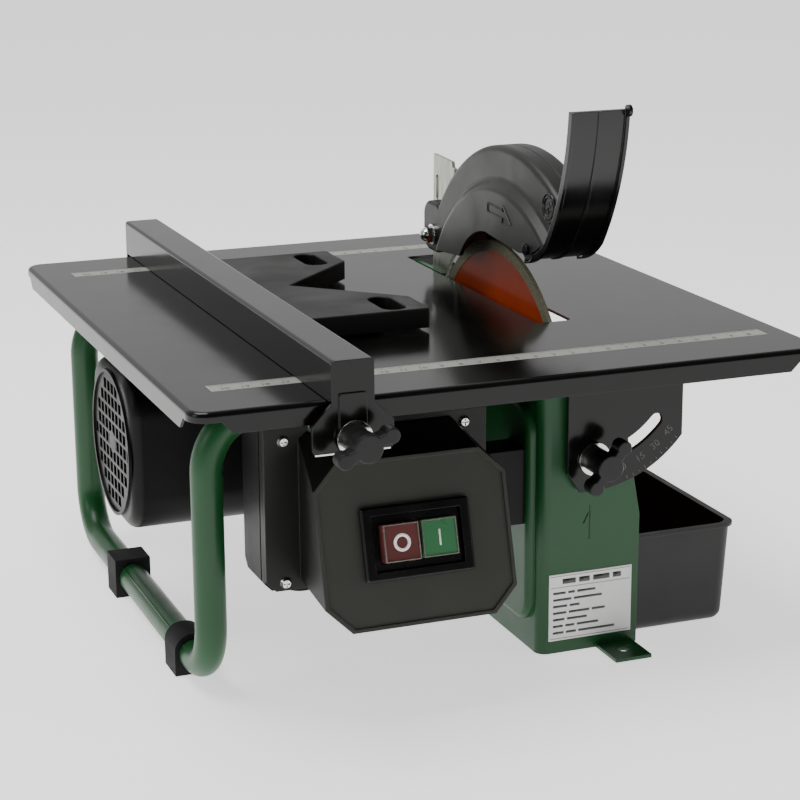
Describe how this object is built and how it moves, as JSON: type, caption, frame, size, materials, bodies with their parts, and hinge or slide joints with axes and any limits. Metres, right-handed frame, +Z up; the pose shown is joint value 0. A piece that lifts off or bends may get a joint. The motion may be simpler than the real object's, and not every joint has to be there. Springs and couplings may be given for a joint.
{
  "type": "bench tile and stone saw",
  "caption": "Bench saw for tile and stone: tilting steel table over a motor-driven diamond blade, with rip fence, corner guide, blade guard, splash flap and water tank.",
  "frame": {"origin": "centre of the table's working surface", "axes": "+X to the operator's right along the arbor, +Y to the back along the cut, +Z up out of the table"},
  "size_m": [0.33, 0.3965, 0.2848],
  "materials": {
    "table_enamel": "gloss black stove enamel on pressed steel",
    "black_steel": "black paint on steel plate",
    "ruler_strip": "satin printed strip",
    "green_enamel": "semi-gloss green powder coat",
    "label": "blank foil-faced sticker",
    "zinc_steel": "zinc-plated sheet",
    "zinc_screws": "zinc-plated",
    "bright_washers": "bright nickel",
    "bright_bolt": "bright nickel",
    "bearing_steel": "ground steel",
    "knob_plastic": "moulded, fine grain",
    "motor_aluminium": "dark grey painted",
    "core_steel": "laminated sheet",
    "winding_copper": "lacquered copper wire",
    "cowl_plastic": "moulded, satin",
    "blade_paint": "orange-red lacquer on steel",
    "diamond_segment": "sintered diamond rim",
    "guard_plastic": "moulded, satin",
    "flap_plastic": "moulded, smooth",
    "guide_plastic": "moulded, matt",
    "cover_plastic": "moulded, fine grain",
    "bezel_plastic": "moulded, smooth",
    "stop_red": "under a clear frame",
    "start_green": "under a clear frame",
    "capacitor_case": "moulded can",
    "rubber": "moulded rubber",
    "tank_plastic": "moulded polypropylene"
  },
  "bodies": {
    "base": {"housing": "green_enamel", "rating_label": "label", "knife_bracket": "green_enamel", "riving_knife": "zinc_steel", "knife_screws": "zinc_screws", "tilt_pins": "zinc_screws", "bevel_studs": "zinc_screws", "bevel_washers": "bright_washers", "motor_shell": "motor_aluminium", "front_shield": "motor_aluminium", "rear_shield": "motor_aluminium", "motor_bearings": "bearing_steel", "motor_bolts": "zinc_screws", "stator_core": "core_steel", "stator_windings": "winding_copper", "fan_cover": "cowl_plastic", "switch_box": "cowl_plastic", "switch_cover": "cover_plastic", "switch_screws": "bright_bolt", "switch_bezel": "bezel_plastic", "switch_module": "bezel_plastic", "run_capacitor": "capacitor_case", "cable_gland": "rubber", "leg_tube": "green_enamel", "foot_front": "rubber", "foot_rear": "rubber"},
    "table": {"table_top": "table_enamel", "ruler_front": "ruler_strip", "ruler_rear": "ruler_strip", "quadrant_front": "black_steel", "quadrant_rear": "black_steel"},
    "fence": {"fence_beam": "table_enamel", "fence_bracket": "table_enamel", "fence_clamp_plate": "bright_washers", "fence_stud": "zinc_screws", "fence_washer": "bright_washers", "fence_rear_hook": "table_enamel"},
    "fence_knob": {"fence_knob": "knob_plastic"},
    "corner_guide": {"corner_guide": "guide_plastic"},
    "bevel_knob_front": {"bevel_knob_front": "knob_plastic"},
    "bevel_knob_rear": {"bevel_knob_rear": "knob_plastic"},
    "spindle": {"motor_shaft": "bearing_steel", "rotor_core": "core_steel", "cooling_fan": "cowl_plastic", "inner_flange": "bearing_steel", "outer_flange": "bearing_steel", "arbor_nut": "zinc_screws", "blade_core": "blade_paint", "diamond_rim": "diamond_segment"},
    "guard": {"guard_left": "guard_plastic", "guard_right": "guard_plastic", "guard_screws": "zinc_screws", "guard_bolt": "bright_bolt", "guard_nut": "zinc_screws", "flap_pin": "flap_plastic"},
    "splash_flap": {"splash_flap": "flap_plastic"},
    "stop_button": {"stop_button": "stop_red"},
    "start_button": {"start_button": "start_green"},
    "water_tank": {"water_tank": "tank_plastic"}
  },
  "joints": [
    {"name": "table_tilt", "type": "hinge", "parent": "base", "child": "table", "pos_m": [0.057, 0, -0.0085], "axis": [0, 1, 0], "range_deg": [0, 45]},
    {"name": "fence_slide", "type": "slide", "parent": "table", "child": "fence", "axis": [1, 0, 0], "range_m": [-0.05, 0.022]},
    {"name": "guide_slide", "type": "slide", "parent": "fence", "child": "corner_guide", "axis": [0, 1, 0], "range_m": [-0.1, 0.09]},
    {"name": "fence_knob_turn", "type": "hinge", "parent": "fence", "child": "fence_knob", "pos_m": [-0.09, -0.195, -0.017], "axis": [0, -1, 0], "continuous": true},
    {"name": "bevel_knob_front_turn", "type": "hinge", "parent": "base", "child": "bevel_knob_front", "pos_m": [0.05967, -0.14, -0.05943], "axis": [0, -1, 0], "continuous": true},
    {"name": "bevel_knob_rear_turn", "type": "hinge", "parent": "base", "child": "bevel_knob_rear", "pos_m": [0.05967, 0.16, -0.05943], "axis": [0, 1, 0], "continuous": true},
    {"name": "spindle_spin", "type": "hinge", "parent": "base", "child": "spindle", "pos_m": [0.0625, -0.005, -0.0605], "axis": [1, 0, 0], "continuous": true},
    {"name": "guard_lift", "type": "hinge", "parent": "base", "child": "guard", "pos_m": [0.0625, 0.067, 0.022], "axis": [-1, 0, 0], "range_deg": [0, 25]},
    {"name": "flap_drop", "type": "hinge", "parent": "guard", "child": "splash_flap", "pos_m": [0.0625, -0.077, 0.04], "axis": [1, 0, 0], "range_deg": [0, 30]},
    {"name": "stop_press", "type": "slide", "parent": "base", "child": "stop_button", "axis": [0, 0.9598, -0.2807], "range_m": [0, 0.004], "stiffness_N_per_m": 400, "springref_m": -0.002},
    {"name": "start_press", "type": "slide", "parent": "base", "child": "start_button", "axis": [0, 0.9598, -0.2807], "range_m": [0, 0.0025], "stiffness_N_per_m": 400, "springref_m": -0.002},
    {"name": "tank_slide", "type": "slide", "parent": "base", "child": "water_tank", "axis": [1, 0, 0], "range_m": [0, 0.018]}
  ]
}
